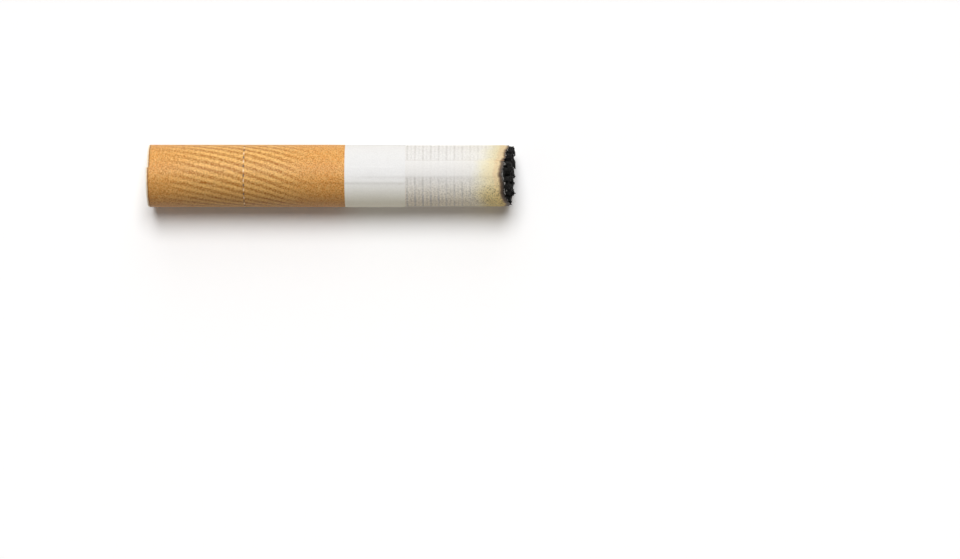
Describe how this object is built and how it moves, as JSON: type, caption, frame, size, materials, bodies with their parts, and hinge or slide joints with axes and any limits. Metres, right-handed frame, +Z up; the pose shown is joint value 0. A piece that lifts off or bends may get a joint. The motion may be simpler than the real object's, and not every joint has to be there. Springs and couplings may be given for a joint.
{
  "type": "cigarette butt",
  "caption": "Smoked-down filter cigarette lying on its side: cork-print tipping paper over a fibre filter, ribbed white paper and a charred, ragged burnt end.",
  "frame": {"origin": "middle of the base, on the floor that the butt lies on", "axes": "+X along the butt from the mouth end to the burnt end, +Z up"},
  "size_m": [0.0466, 0.008, 0.0079],
  "materials": {
    "tipping_print": "matt cork-coloured print with fine diagonal pinstripes, and a plain white end",
    "ribbed_paper": "thin white ribbed paper, yellowed and scorched brown to black at the burnt rim",
    "wrap_paper": "plain thin white paper",
    "filter_tow": "crimped off-white fibre, stained tan by smoke",
    "tobacco": "cut leaf, burnt black-brown at its end",
    "char": "brittle black char with a dull grey bloom of ash"
  },
  "bodies": {
    "root": {"charred_shred_01": "char", "charred_shred_02": "char", "charred_shred_03": "char", "charred_shred_04": "char", "charred_shred_05": "char", "charred_shred_06": "char", "charred_shred_07": "char", "charred_shred_08": "char", "charred_shred_09": "char", "charred_shred_10": "char", "charred_shred_11": "char", "charred_shred_12": "char", "charred_shred_13": "char", "charred_shred_14": "char", "charred_shred_15": "char", "charred_shred_16": "char", "charred_shred_17": "char", "charred_shred_18": "char", "charred_shred_19": "char", "charred_shred_20": "char", "charred_shred_21": "char", "charred_shred_22": "char", "charred_shred_23": "char", "charred_shred_24": "char", "charred_shred_25": "char", "charred_shred_26": "char", "charred_shred_27": "char", "charred_shred_28": "char", "charred_shred_29": "char", "charred_shred_30": "char", "charred_shred_31": "char", "charred_shred_32": "char", "charred_shred_33": "char", "charred_shred_34": "char", "cigarette_paper": "ribbed_paper", "filter_plug": "filter_tow", "plug_wrap": "wrap_paper", "tipping_paper": "tipping_print", "tobacco_column": "tobacco"}
  },
  "joints": []
}
